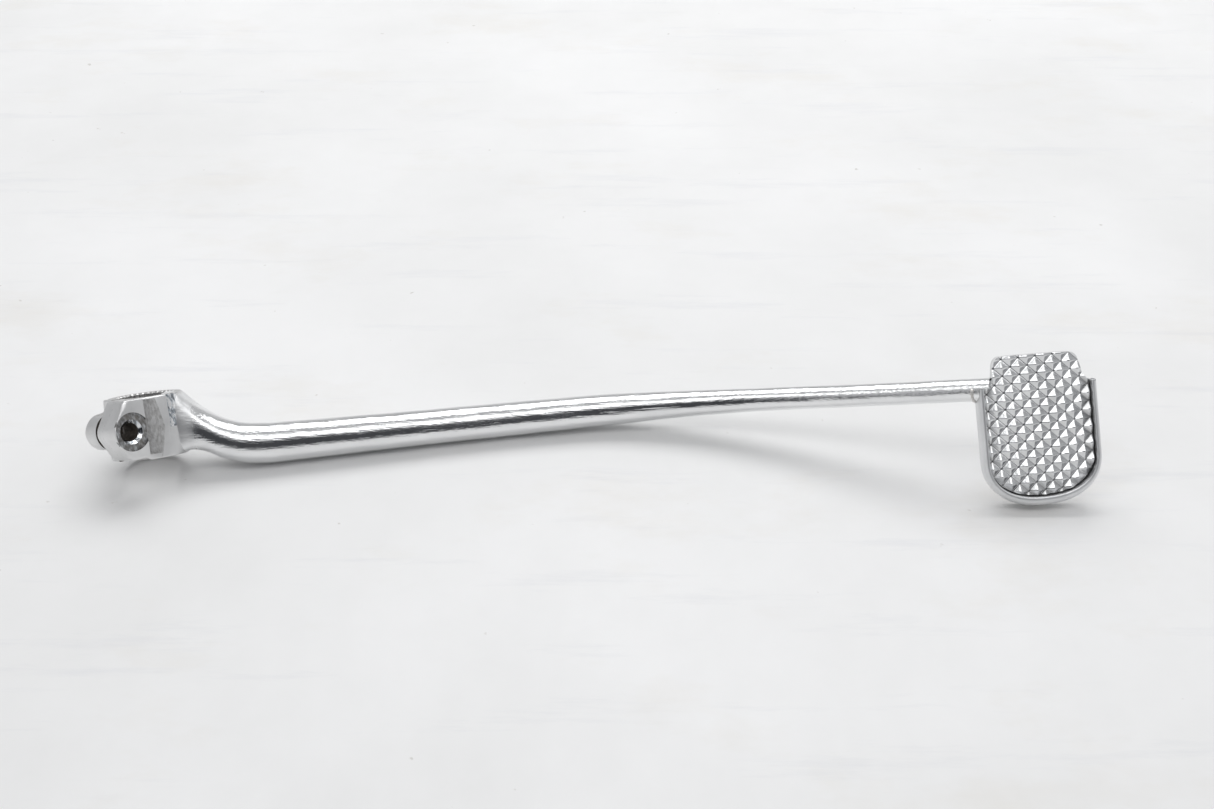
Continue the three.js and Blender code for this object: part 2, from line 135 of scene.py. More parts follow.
def mesh_piece(name, points, faces, merge=1e-7):
    """Object from points in the working frame: doubles merged, faces turned outwards."""
    mesh = bpy.data.meshes.new(name)
    mesh.from_pydata(laid(points).tolist(), [], faces.tolist())
    bm = bmesh.new()
    bm.from_mesh(mesh)
    bmesh.ops.remove_doubles(bm, verts=bm.verts, dist=merge)
    bmesh.ops.dissolve_degenerate(bm, edges=bm.edges, dist=merge)
    bmesh.ops.recalc_face_normals(bm, faces=bm.faces)
    if bm.calc_volume(signed=True) < 0:
        bmesh.ops.reverse_faces(bm, faces=bm.faces)
    bm.to_mesh(mesh)
    bm.free()
    piece = bpy.data.objects.new(name, mesh)
    bpy.context.scene.collection.objects.link(piece)
    return piece


def surface(name, grid, wrap_rows=False, wrap_columns=False):
    """Object from a grid of points (rows, columns, 3)."""
    rows, columns = grid.shape[:2]
    return mesh_piece(name, grid.reshape(-1, 3), grid_faces(rows, columns, wrap_rows, wrap_columns))


def combine(piece, tool, operation="DIFFERENCE"):
    """Cuts the piece with a tool, or keeps what they share, and throws the tool away."""
    step = piece.modifiers.new("cut", "BOOLEAN")
    step.operation = operation
    step.solver = "MANIFOLD"
    step.object = tool
    done = piece.evaluated_get(bpy.context.evaluated_depsgraph_get())
    mesh = bpy.data.meshes.new_from_object(done)
    piece.modifiers.clear()
    piece.data = mesh
    bpy.data.objects.remove(tool)
    return piece


def shade(piece, crisp):
    """Smooth shading, with edges sharper than this angle in degrees left crisp."""
    piece.data.shade_smooth()
    piece.data.set_sharp_from_angle(angle=math.radians(crisp))


def unlaid(points):
    """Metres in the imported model's frame, as a flat list, back to millimetres in the working frame."""
    return (points.reshape(-1, 3) - ORIGIN) @ TURN * 1000


def vertices_of(piece):
    """A piece's points in the working frame."""
    points = np.empty(len(piece.data.vertices) * 3)
    piece.data.vertices.foreach_get("co", points)
    return unlaid(points)


def paint(piece, name, value):
    """Stores one number at each point of the piece, for its material to read."""
    layer = piece.data.attributes.new(name, "FLOAT", "POINT")
    layer.data.foreach_set("value", value.astype(np.float32))


def fit(piece, materials, slot, *nodes, areas=None):
    """Gives a finished piece its materials and its place on the lever, and hides the imported parts it stands
    in for.
    Areas hold the number of each face's material, where there is more than one. The slot is not used."""
    piece.data.materials.clear()
    for material in materials:
        piece.data.materials.append(material)
    if areas is not None:
        piece.data.polygons.foreach_set("material_index", areas.astype(np.int32))
    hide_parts(*nodes)
    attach(piece, "root")
    return piece


# ---- materials ---------------------------------------------------------------------------------


class Wire:
    """A shader value. Sums, differences, products and powers of wires add their Math nodes."""

    def __init__(self, sheet, socket):
        self.sheet, self.socket = sheet, socket

    def _math(self, operation, *operands):
        return self.sheet.add("ShaderNodeMath", {"operation": operation}, *operands)

    def __add__(self, other):
        return self._math("ADD", self, other)

    def __sub__(self, other):
        return self._math("SUBTRACT", self, other)

    def __rsub__(self, other):
        return self._math("SUBTRACT", other, self)

    def __mul__(self, other):
        return self._math("MULTIPLY", self, other)

    def __pow__(self, other):
        return self._math("POWER", self, other)

    __radd__ = __add__
    __rmul__ = __mul__


class Sheet:
    """The node sheet of one material."""

    def __init__(self, name):
        self.material = bpy.data.materials.new(name)
        self.material.use_nodes = True
        self.tree = self.material.node_tree
        self.tree.nodes.clear()

    def add(self, kind, settings=None, *inputs, out=0, **named):
        """A node of this kind: its settings, then values or wires for its sockets. Returns one output."""
        node = self.tree.nodes.new(kind)
        for key, value in (settings or {}).items():
            if key == "stops":
                ramp = node.color_ramp
                while len(ramp.elements) < len(value):
                    ramp.elements.new(0.5)
                for element, (position, color) in zip(ramp.elements, value):
                    element.position = position
                    element.color = (*color, 1) if len(color) == 3 else color
            else:
                setattr(node, key, value)
        by_name = [(key.replace("_", " "), value) for key, value in named.items()]
        for socket, value in [*enumerate(inputs), *by_name]:
            if isinstance(value, Wire):
                self.tree.links.new(value.socket, node.inputs[socket])
            elif value is not None:
                node.inputs[socket].default_value = value
        return Wire(self, node.outputs[out]) if len(node.outputs) else None

    def place(self, stretch=(1, 1, 1), turn=(0, 0, 0)):
        """Object coordinates, turned and stretched."""
        where = self.add("ShaderNodeTexCoord", out="Object")
        kind = {"vector_type": "POINT"}
        return self.add("ShaderNodeMapping", kind, Vector=where, Rotation=turn, Scale=stretch)

    def noise(self, where, scale, detail=3.0, roughness=0.5):
        """Fractal noise, about 0 to 1."""
        inputs = {"Vector": where, "Scale": scale, "Detail": detail, "Roughness": roughness}
        return self.add("ShaderNodeTexNoise", None, **inputs)

    def attribute(self, name):
        """A number painted on the piece's points."""
        return self.add("ShaderNodeAttribute", {"attribute_name": name}, out="Fac")

    def ramp(self, value, *stops):
        """A colour for each value, from stops of (value, colour)."""
        return self.add("ShaderNodeValToRGB", {"stops": stops}, value)

    def patches(self, value, low, high):
        """0 where a noise is under low, 1 where it is over high."""
        return self.ramp(value, (low, (0, 0, 0)), (high, (1, 1, 1)))

    def mix(self, factor, a, b):
        """Colour a where the factor is 0 and b where it is 1."""
        node = self.tree.nodes.new("ShaderNodeMix")
        node.data_type = "RGBA"
        for index, value in ((0, factor), (6, a), (7, b)):
            if isinstance(value, Wire):
                self.tree.links.new(value.socket, node.inputs[index])
            else:
                node.inputs[index].default_value = value
        return Wire(self, node.outputs[2])

    def bump(self, height, strength, distance, normal=None):
        """A normal tilted by a height, on top of another bump if one is given."""
        inputs = {"Height": height, "Strength": strength, "Distance": distance, "Normal": normal}
        return self.add("ShaderNodeBump", None, **inputs)

    def metal(self, **sockets):
        """Ends the sheet with a metal."""
        return self.finish(Metallic=1.0, **sockets)

    def finish(self, **sockets):
        """Ends the sheet: its shader's sockets, wired to the output. Returns the material."""
        shader = self.add("ShaderNodeBsdfPrincipled", None, **sockets)
        self.add("ShaderNodeOutputMaterial", None, shader)
        return self.material


def grey(value, warmth=0.0):
    """A near-neutral colour: warmth above 0 leans to brown, below 0 to blue."""
    return (value * (1 + warmth), value, value * (1 - warmth), 1)


LIE = (LEAN, 0, 0)  # turns object coordinates upright on the lever


def bar_chrome():
    """Hand-polished chrome: long faint streaks along the bar, clouded gloss and pin specks. The neck is
    satin, where the forged skin was left as struck."""
    sheet = Sheet("bar_chrome")
    struck = sheet.attribute("struck")
    streaks = sheet.noise(sheet.place((14, 260, 260)), 5.0, 4.0, 0.6)
    clouds = sheet.noise(sheet.place((60, 90, 90)), 1.0, 3.0)
    specks = sheet.noise(sheet.place((900, 900, 900)), 1.0, 2.0)
    tone = sheet.ramp(clouds, (0.3, grey(0.80, -0.006)), (0.7, grey(0.88, -0.004)))
    roughness = 0.03 + 0.10 * streaks ** 2.0 + 0.03 * clouds + 0.32 * struck
    dents = sheet.bump(streaks, 0.20, 0.0006)
    pits = sheet.bump(specks, 0.05, 0.0002, dents)
    return sheet.metal(Base_Color=tone, Roughness=roughness, Normal=pits)


def cup_chrome():
    """Chrome over pressed steel, half satin, with a faint orange-peel skin."""
    sheet = Sheet("cup_chrome")
    peel = sheet.noise(sheet.place((700, 700, 700)), 1.0, 2.0)
    clouds = sheet.noise(sheet.place((80, 80, 80)), 1.0, 3.0)
    tone = sheet.ramp(clouds, (0.3, grey(0.70, -0.01)), (0.7, grey(0.80, -0.008)))
    roughness = 0.36 + 0.12 * clouds
    return sheet.metal(Base_Color=tone, Roughness=roughness, Normal=sheet.bump(peel, 0.06, 0.0003))


def tread_chrome():
    """Chromed serrations: bright faces, duller in the grooves, and painted shade that darkens the grooves,
    most near the plate's edge.
    """
    sheet = Sheet("tread_chrome")
    grain = sheet.noise(sheet.place((1500, 1500, 1500)), 1.0, 3.0)
    clouds = sheet.noise(sheet.place((120, 120, 120)), 1.0, 4.0)
    depth = sheet.attribute("groove")
    unshaded_tone = sheet.ramp(clouds, (0.3, grey(0.66, -0.012)), (0.7, grey(0.80, -0.008)))
    # painted shade: the groove number darkens the tone towards grey 0.30
    tone = sheet.mix(depth * 0.75, unshaded_tone, grey(0.30, 0.01))
    roughness = 0.07 + 0.10 * clouds + 0.16 * depth
    return sheet.metal(Base_Color=tone, Roughness=roughness, Normal=sheet.bump(grain, 0.10, 0.0003))


def forging_chrome():
    """Chromed forging left as struck: satin, faintly clouded, with the fine tooth of the blasted skin."""
    sheet = Sheet("forging_chrome")
    skin = sheet.noise(sheet.place((420, 420, 420)), 1.0, 5.0, 0.6)
    clouds = sheet.noise(sheet.place((110, 110, 110)), 1.0, 3.0)
    tone = sheet.ramp(clouds, (0.3, grey(0.66)), (0.7, grey(0.78)))
    roughness = 0.30 + 0.14 * skin
    return sheet.metal(Base_Color=tone, Roughness=roughness, Normal=sheet.bump(skin, 0.14, 0.0005))


def polished_chrome():
    """The strip beside the flat and the hole's chamfer: polished, with fine upright lines whose dark, blue
    and bright bands are painted reflections.
    """
    sheet = Sheet("polished_chrome")
    lines = sheet.noise(sheet.place((900, 900, 90), LIE), 1.0, 3.0)
    # the dark, blue and bright bands are painted reflections
    dark, blue, bright = grey(0.20, -0.05), grey(0.52, -0.08), grey(0.90, -0.005)
    tone = sheet.ramp(lines, (0.36, dark), (0.46, blue), (0.56, bright))
    roughness = 0.06 + 0.16 * lines
    return sheet.metal(Base_Color=tone, Roughness=roughness, Normal=sheet.bump(lines, 0.4, 0.0005))


def milled_steel():
    """Machined faces: upright cutter lines, dull grey with lighter bands."""
    sheet = Sheet("milled_steel")
    lines = sheet.noise(sheet.place((1300, 1300, 60), LIE), 1.0, 4.0, 0.6)
    bands = sheet.noise(sheet.place((260, 260, 40), LIE), 1.0, 2.0)
    dull, middling, light = grey(0.40, 0.015), grey(0.56, 0.01), grey(0.72)
    tone = sheet.ramp(lines, (0.3, dull), (0.5, middling), (0.7, light))
    roughness = 0.30 + 0.22 * bands
    return sheet.metal(Base_Color=tone, Roughness=roughness, Normal=sheet.bump(lines, 0.3, 0.0003))


def seat_steel():
    """Bolt seat: dark, as painted shade of the recess, torn by the bolt's head, with brighter scores where
    the plating was rubbed off.
    """
    sheet = Sheet("seat_steel")
    torn = sheet.noise(sheet.place((900, 900, 260), LIE), 1.0, 6.0, 0.65)
    stain = sheet.noise(sheet.place((320, 320, 320)), 1.0, 3.0)
    # the dark end of this ramp is painted shade of the recess; the brighter scores are wear
    dark, worn, rubbed = grey(0.16, 0.02), grey(0.30, -0.01), grey(0.66, -0.03)
    scored = sheet.ramp(torn, (0.38, dark), (0.52, worn), (0.68, rubbed))
    tone = sheet.mix(sheet.patches(stain, 0.45, 0.7) * 0.5, scored, grey(0.24, 0.10))
    roughness = 0.34 + 0.30 * stain
    return sheet.metal(Base_Color=tone, Roughness=roughness, Normal=sheet.bump(torn, 0.55, 0.0006))


def hole_steel():
    """Inside the bolt hole: unplated, brown with old rust and grease."""
    sheet = Sheet("hole_steel")
    rust = sheet.noise(sheet.place((500, 500, 500)), 1.0, 5.0, 0.6)
    tone = sheet.ramp(rust, (0.35, grey(0.10, 0.12)), (0.65, grey(0.30, 0.10)))
    roughness = 0.45 + 0.25 * rust
    skin = sheet.bump(rust, 0.4, 0.0005)
    return sheet.finish(Base_Color=tone, Metallic=0.8, Roughness=roughness, Normal=skin)


def weld_chrome():
    """Thinly covered weld: dull, rippled, browned in its roots."""
    sheet = Sheet("weld_chrome")
    scale = sheet.noise(sheet.place((600, 600, 600)), 1.0, 5.0, 0.65)
    brown, dull, plated = grey(0.34, 0.16), grey(0.60, 0.04), grey(0.78)
    tone = sheet.ramp(scale, (0.3, brown), (0.45, dull), (0.7, plated))
    roughness = 0.25 + 0.35 * scale
    return sheet.metal(Base_Color=tone, Roughness=roughness, Normal=sheet.bump(scale, 0.3, 0.0004))


# ---- clamp -------------------------------------------------------------------------------------


def edge_along(ray, normal, distance):
    """How far a ray from the shaft's axis runs before it meets a plane; far away if it never does."""
    facing = ray[0] * normal[0] + ray[1] * normal[1]
    return np.where(facing > 0.02, distance / np.maximum(facing, 0.02), 500.0)


def clamp_radius(angle, z):
    """Outer skin of the clamp: distance from the shaft's axis at each angle and height.

    Each body is the nearest of its faces along the ray: the barrel is a pair of shallow cones, the
    near ear a drafted cheek with a blunt nose, the far ear a thinner one with a round lug. The skin is
    the farthest body, with fillets where bodies meet.
    """
    ray = (np.cos(angle), np.sin(angle))
    height = np.abs(z)
    barrel = WAIST - (WAIST - END) * height / HALF
    rise = NOSE["radius"] * math.sin(NOSE["lean"])
    flank = NOSE["tip"] + NOSE["radius"] * math.cos(NOSE["lean"]) - (height - rise) * math.tan(NOSE["lean"])
    nose = np.where(height < rise, NOSE["tip"] + np.sqrt(np.clip(NOSE["radius"] ** 2 - z**2, 0, None)), flank)
    lug = BOLT["along"] + np.sqrt(np.clip(LUG["radius"] ** 2 - z**2, 0, None))
    lug = lug - LUG["step"] * smoothstep(LUG["radius"] - LUG["edge"], LUG["radius"], height)
    lug = np.maximum(LUG["least"], lug)
    ridge = 0.25  # how blunt the ridge along the parting line is
    parting = np.sqrt(z**2 + ridge**2) / HALF
    corner = 0.45 + 2.2 * smoothstep(6.2, 9.5, height)  # fillet of the near ear, crisp beside the seat
    near = soft_min(
        edge_along(ray, BOLTWARD, CHEEK["near"] - DRAFT * parting), edge_along(ray, SLITWARD, nose), corner
    )
    far = soft_min(
        edge_along(ray, -BOLTWARD, CHEEK["far"] - DRAFT * parting), edge_along(ray, SLITWARD, lug), 0.8
    )
    side = ray[0] * BOLTWARD[0] + ray[1] * BOLTWARD[1]
    ear = np.where(side >= 0, near, far)
    slitward = ray[0] * SLITWARD[0] + ray[1] * SLITWARD[1]
    ear = np.where(slitward > 0.02, ear, 0)
    return soft_max(barrel, ear, 1.2)


def spline_radius(angle):
    """Serrated bore: flat lands at the tooth tips, flat groove floors, straight flanks between them."""
    share = (angle * SPLINE["teeth"] / (2 * math.pi)) % 1
    corners = [0, 0.2, 0.4, 0.8, 1.0]
    tip, root = SPLINE["tip"], SPLINE["root"]
    return np.interp(share, corners, [tip, tip, root, root, tip])


def clamp_body():
    """Closed ring round the shaft: at each angle a loop up the bore, over the top, down the skin, back."""
    count = SPLINE["teeth"] * 20
    angle = np.arange(count) * 2 * math.pi / count
    edge, mouth = 0.55, 0.45  # rounding of the outer edges, chamfer of the bore
    bore = spline_radius(angle)
    bore_edge = np.maximum(bore, SPLINE["root"]) + mouth * 0.9
    # the ears stop a little above the barrel's lower face
    low = -HALF + 1.05 * smoothstep(14.6, 16.0, clamp_radius(angle, np.full(angle.shape, -9.0)))
    rows = []

    def ring(radius, z):
        radius, z = np.broadcast_arrays(np.asarray(radius, float), np.asarray(z, float))
        radius, z = np.broadcast_to(radius, angle.shape), np.broadcast_to(z, angle.shape)
        rows.append(np.stack([radius * np.cos(angle), radius * np.sin(angle), z], -1))

    for z in (-HALF + mouth, -4.0, 4.0, HALF - mouth):
        ring(bore, z)
    top = clamp_radius(angle, np.full(angle.shape, HALF))
    for step in (0.0, 0.5, 1.0):
        ring(bore_edge * (1 - step) + (top - edge) * step, HALF)
    for t in np.linspace(0.15, 1, 5):
        ring(top - edge * (1 - math.sin(t * math.pi / 2)), HALF - edge * (1 - math.cos(t * math.pi / 2)))
    for share in np.linspace(0, 1, 62)[1:-1]:
        z = (HALF - edge) * (1 - share) + (low + edge) * share
        ring(clamp_radius(angle, z), z)
    bottom = clamp_radius(angle, low)
    for t in np.linspace(0, 0.85, 5):
        ring(bottom - edge * (1 - math.cos(t * math.pi / 2)), low + edge * (1 - math.sin(t * math.pi / 2)))
    for step in (1.0, 0.5, 0.0):
        ring(bore_edge * (1 - step) + (bottom - edge) * step, low * step - HALF * (1 - step))
    return surface("clamp", np.stack(rows), wrap_rows=True, wrap_columns=True)


def bolt_tool():
    """Turned cutter along the bolt: tapped hole, clearance hole, chamfer and seat. In the tapped hole the
    radius is the thread's root plus its depth times a triangle wave of (distance / pitch - turn)."""
    turns = np.arange(72) * 2 * math.pi / 72
    far, past, level, hole = -14, 20, BOLT["level"], BOLT["hole"]
    thread = np.linspace(THREAD["from"], THREAD["to"], 105)
    before = [(far, 0), (far, THREAD["root"] + 0.4)]
    after = [(-0.4, hole), (level - BOLT["chamfer"], hole), (level, hole + BOLT["chamfer"])]
    after += [(level, BOLT["seat"]), (past, BOLT["seat"]), (past, 0)]
    along = np.array([a for a, _ in before] + list(thread) + [a for a, _ in after])
    radius = np.array([r for _, r in before] + [0] * len(thread) + [r for _, r in after])
    grid_radius = np.repeat(radius[:, None], len(turns), 1)
    phase = (thread[:, None] / THREAD["pitch"] - turns[None, :] / (2 * math.pi)) % 1
    wave = 1 - np.abs(2 * phase - 1)
    grid_radius[len(before) : len(before) + len(thread)] = THREAD["root"] + THREAD["depth"] * wave
    side = np.cross(SHAFTWARD, BOLTWARD)
    points = (
        BOLT["along"] * SLITWARD
        + along[:, None, None] * BOLTWARD
        + grid_radius[..., None] * (np.cos(turns)[:, None] * SHAFTWARD + np.sin(turns)[:, None] * side)
    )
    return surface("bolt_tool", points, wrap_columns=True)


def block_tool(name, corner, size, axes):
    """Block cutter: from a corner, with its three edge lengths along three axes."""
    unit = np.array([[x, y, z] for x in (0, 1) for y in (0, 1) for z in (0, 1)], float)
    points = np.asarray(corner) + (unit * np.asarray(size)) @ np.asarray(axes)
    faces = np.array([[0, 1, 3, 2], [4, 6, 7, 5], [0, 4, 5, 1], [2, 3, 7, 6], [0, 2, 6, 4], [1, 5, 7, 3]])
    return mesh_piece(name, points, faces)


def clamp():
    """The clamp's ring, with the bolt's hole and seat, the pinch slit and the flat cut into it."""
    body = clamp_body()
    combine(body, bolt_tool())
    corner = -SLIT_WIDTH / 2 * BOLTWARD - (HALF + 3) * SHAFTWARD
    combine(body, block_tool("slit", corner, (40, SLIT_WIDTH, 30), (SLITWARD, BOLTWARD, SHAFTWARD)))
    across = np.cross(SHAFTWARD, FLATWARD)
    corner = FLAT["distance"] * FLATWARD + FLAT["across"][0] * across + FLAT["tall"][0] * SHAFTWARD
    size = (20, FLAT["across"][1] - FLAT["across"][0], FLAT["tall"][1] - FLAT["tall"][0])
    combine(body, block_tool("flat", corner, size, (FLATWARD, across, SHAFTWARD)))
    shade(body, 24)
    return body


STRUCK, POLISHED, MILLED, SEAT, HOLE = range(5)  # numbers of the clamp's finishes


def clamp_areas(body):
    """Number of the finish of each face of the clamp, told from the face's middle and the way it looks."""
    mesh = body.data
    middle, look = np.empty(len(mesh.polygons) * 3), np.empty(len(mesh.polygons) * 3)
    mesh.polygons.foreach_get("center", middle)
    mesh.polygons.foreach_get("normal", look)
    local, look = unlaid(middle), look.reshape(-1, 3) @ TURN
    s, b, z = local @ SLITWARD, local @ BOLTWARD, local[:, 2]
    level, seat, mouth = BOLT["level"], BOLT["seat"], BOLT["hole"] + 0.1
    away = np.hypot(s - BOLT["along"], z)  # from the bolt's axis
    from_shaft = np.hypot(local[:, 0], local[:, 1])
    along_bolt = np.abs(look @ BOLTWARD)
    angle = np.degrees(np.arctan2(local[:, 1], local[:, 0]))
    areas = np.full(len(mesh.polygons), STRUCK)
    # POLISHED faces take painted reflection bands
    areas[(angle > -42) & (angle < -20) & (z > -0.6) & (from_shaft > 12.9)] = POLISHED
    areas[(np.abs(look[:, 2]) > 0.95) | (from_shaft < 10.8)] = MILLED
    areas[np.abs(local @ FLATWARD - FLAT["distance"]) < 0.03] = MILLED
    # SEAT faces are dark with painted shade of the recess
    areas[(np.abs(b - level) < 0.06) & (along_bolt > 0.9) & (away < seat + 0.3)] = SEAT
    areas[(np.abs(away - seat) < 0.1) & (b > level) & (along_bolt < 0.3)] = SEAT
    areas[(away < mouth) & (s > 8)] = HOLE
    chamfer = (away > mouth) & (away < BOLT["hole"] + BOLT["chamfer"] + 0.05)
    areas[chamfer & (b < level - 0.06) & (b > level - BOLT["chamfer"] - 0.05)] = POLISHED
    return areas


# ---- arm ---------------------------------------------------------------------------------------

# middle of the bar: X, Y, Z
ROUTE = np.array(
    [
        [42.0, 5.7, -12.2],
        [90.0, 13.4, -13.8],
        [140.0, 20.6, -15.4],
        [165.0, 22.6, -16.1],
        [195.0, 19.3, -16.8],
        [225.0, 11.6, -17.6],
        [260.0, -1.8, -18.6],
        [306.0, -23.5, -19.2],
    ]
)
# bar's radius at distances along X
TAPER = np.array(
    [
        [42, 7.5],
        [55, 7.3],
        [95, 6.65],
        [145, 6.3],
        [170, 5.9],
        [200, 4.85],
        [225, 4.3],
        [260, 4.1],
        [306, 4.1],
    ]
)
# neck between clamp and arm: distance along X, line's Y, top, bottom, half width, squareness, draft
NECK = np.array(
    [
        [6.0, 0.7, 11.25, -11.25, 8.0, 7.0, 1.5],
        [9.0, 0.7, 11.25, -11.25, 8.0, 7.0, 1.5],
        [12.0, 0.9, 11.25, -10.95, 8.0, 6.0, 1.5],
        [15.3, 1.5, 7.9, -10.7, 7.9, 4.4, 1.3],
        [18.5, 2.1, 5.0, -11.7, 7.7, 3.0, 0.7],
        [24.5, 3.0, 0.5, -15.2, 7.5, 2.2, 0.1],
        [32.0, 4.2, -3.0, -18.2, 7.55, 2.0, 0.0],
        [42.0, 5.7, -4.6, -19.75, 7.55, 2.0, 0.0],
    ]
)


def spline_through(points, x):
    """Smooth curve through rows of (x, values...), read at x: cubic Hermite with mean slopes."""
    knots, values = points[:, 0], points[:, 1:]
    slope = np.gradient(values, knots, axis=0)
    i = np.clip(np.searchsorted(knots, x, side="right") - 1, 0, len(knots) - 2)
    h = (knots[i + 1] - knots[i])[:, None]
    t = ((x - knots[i]) / (knots[i + 1] - knots[i]))[:, None]
    a, b, p, q = values[i], values[i + 1], slope[i] * h, slope[i + 1] * h
    return a * (1 + 2 * t) * (1 - t) ** 2 + p * t * (1 - t) ** 2 + b * t**2 * (3 - 2 * t) + q * t**2 * (t - 1)


def arm():
    """Bar carried along the lever's line: a drafted, square-shouldered section at the clamp that turns
    into a circle within 20 mm, then tapers. Each section is the superellipse |u|^n + |v|^n = 1, with n from
    the neck's table. Faint waves of hand polishing run along it. Below the cup's rim the bar stops at the
    cup's wall, and above the rim it runs on to the tongue."""
    neck_end, tongue_side = NECK[-1, 0], 303.2
    stretches = [np.linspace(7, 11.6, 8), np.linspace(12, 44, 90), np.linspace(44.6, tongue_side, 330)]
    x = np.concatenate(stretches)
    neck = spline_through(NECK, np.minimum(x, neck_end))
    line = spline_through(ROUTE, np.maximum(x, neck_end))
    on_neck = (x <= neck_end)[:, None]
    middle = np.where(on_neck, np.stack([neck[:, 0], (neck[:, 1] + neck[:, 2]) / 2], -1), line)
    centre = np.column_stack([x, middle])
    radius = np.interp(x, TAPER[:, 0], TAPER[:, 1])
    blur = np.ones(15) / 15
    radius = np.convolve(np.pad(radius, 7, "edge"), blur, "valid")
    tangent = np.gradient(centre, x, axis=0)
    tangent /= np.linalg.norm(tangent, axis=1)[:, None]
    follow = smoothstep(34, 70, x)[:, None]
    forward = (1 - follow) * np.array([1.0, 0, 0]) + follow * tangent
    forward /= np.linalg.norm(forward, axis=1)[:, None]
    across = np.cross(forward, SHAFTWARD)
    across /= np.linalg.norm(across, axis=1)[:, None]
    upward = np.cross(across, forward)
    blend = smoothstep(36, 46, x)
    half_height = (neck[:, 1] - neck[:, 2]) / 2 * (1 - blend) + radius * blend
    half_width = neck[:, 3] * (1 - blend) + radius * blend
    power = 2 / neck[:, 4]
    turns = np.linspace(0, 2 * math.pi, 128, endpoint=False)
    c, s = np.cos(turns)[None, :], np.sin(turns)[None, :]
    sideways = np.sign(c) * np.abs(c) ** power[:, None]
    upwards = np.sign(s) * np.abs(s) ** power[:, None]
    crease = neck[:, 5][:, None] * (np.sqrt(upwards**2 + 0.0009) - 0.03)
    waves = 0.035 * ripples(x[:, None], 7 * turns[None, :], 5, 40, 26, 14) * smoothstep(14, 30, x)[:, None]
    width = half_width[:, None] - crease + waves
    height = half_height[:, None] + waves
    grid = (
        centre[:, None, :]
        + (width * sideways)[..., None] * across[:, None, :]
        + (height * upwards)[..., None] * upward[:, None, :]
    )
    grid[..., 2] = np.minimum(grid[..., 2], HALF - 0.01)  # just under the clamp's upper face
    ends = [np.repeat(g.mean(0, keepdims=True), len(turns), 0)[None] for g in (grid[0], grid[-1])]
    bar = surface("arm", np.concatenate([ends[0], grid, ends[1]]), wrap_columns=True)
    corner = PAD["centre"] + [-PAD["half"] + 0.4, -9, -12]
    combine(bar, block_tool("cup_corner", corner, (20, 40, 12.0), np.eye(3)))
    shade(bar, 50)
    paint(bar, "struck", 1 - smoothstep(15.0, 20.0, vertices_of(bar)[:, 0]))
    return bar


# ---- foot pad ----------------------------------------------------------------------------------

# pad: middle of the rim's upper end, cup's depth outside and in, half width and height of the U,
# where its sides stop being straight, bluntness of its lower end, rim's width at the sides and below
PAD = {"centre": np.array([319.2, -25.0, -18.5]), "depth": 8.0, "floor": 6.0, "half": 21.2, "bottom": 44.1}
PAD.update(straight=26.5, blunt=2.3, wall=2.0, sill=3.3, skew=0.035)
# corners of the tongue on each side: distance from the middle, height above the rim
TONGUE = {
    "left": [[11.6, 10.9], [13.6, 10.3], [14.9, 8.4], [15.4, 2.8], [16.6, 1.3]],
    "right": [[12.2, 10.9], [14.2, 10.3], [15.5, 8.4], [16.4, 3.4], [17.6, 1.5]],
}
HUB = np.array([0.0, -15.0])  # point that every outline is seen whole from


def on_pad(x, y, depth):
    """Pad coordinates (across, up, down into the pad) to the working frame."""
    return PAD["centre"] + np.stack(np.broadcast_arrays(x, depth, y), -1)


def skewed(points):
    """Lets the rim's ends and the tongue fall away to the right."""
    x, y = points[:, 0], points[:, 1]
    return np.column_stack([x, np.where(y > -1, y - PAD["skew"] * (x + PAD["half"]), y)])


def rounded(points, passes=2):
    """Cuts the corners of an open line by quarters, passes times over."""
    p = np.asarray(points, float)
    for _ in range(passes):
        inner = np.empty((2 * (len(p) - 1), 2))
        inner[0::2] = 0.75 * p[:-1] + 0.25 * p[1:]
        inner[1::2] = 0.25 * p[:-1] + 0.75 * p[1:]
        p = np.vstack([p[:1], inner, p[-1:]])
    return p


def half_u(half, bottom, count=60):
    """Right half of a U, from its top end down to the middle of its blunt lower end."""
    straight = np.column_stack([np.full(24, half), np.linspace(0, -PAD["straight"], 24)])
    a = np.linspace(0, math.pi / 2, count)[1:]
    power = 2 / PAD["blunt"]
    x = half * np.cos(a) ** power
    y = -PAD["straight"] - (bottom - PAD["straight"]) * np.sin(a) ** power
    return np.vstack([straight, np.column_stack([x, y])])


def u_outline(half, bottom):
    """Whole U, from the right-hand end round to the left-hand end."""
    right = half_u(half, bottom)
    left = right[-2::-1] * [-1, 1]
    return skewed(np.vstack([right, left]))


def tongue_outline(inset, half):
    """The tongue above the rim's ends, from the left-hand rim end to the right-hand one."""

    def side(name):
        corners = np.array(TONGUE[name]) - [inset, 0]
        corners[corners[:, 1] > 8, 1] -= 2 * inset
        return rounded(np.vstack([[half, 0], corners[::-1], [0, corners[0, 1]]]))

    return skewed(np.vstack([side("left")[:-1] * [-1, 1], side("right")[::-1]]))


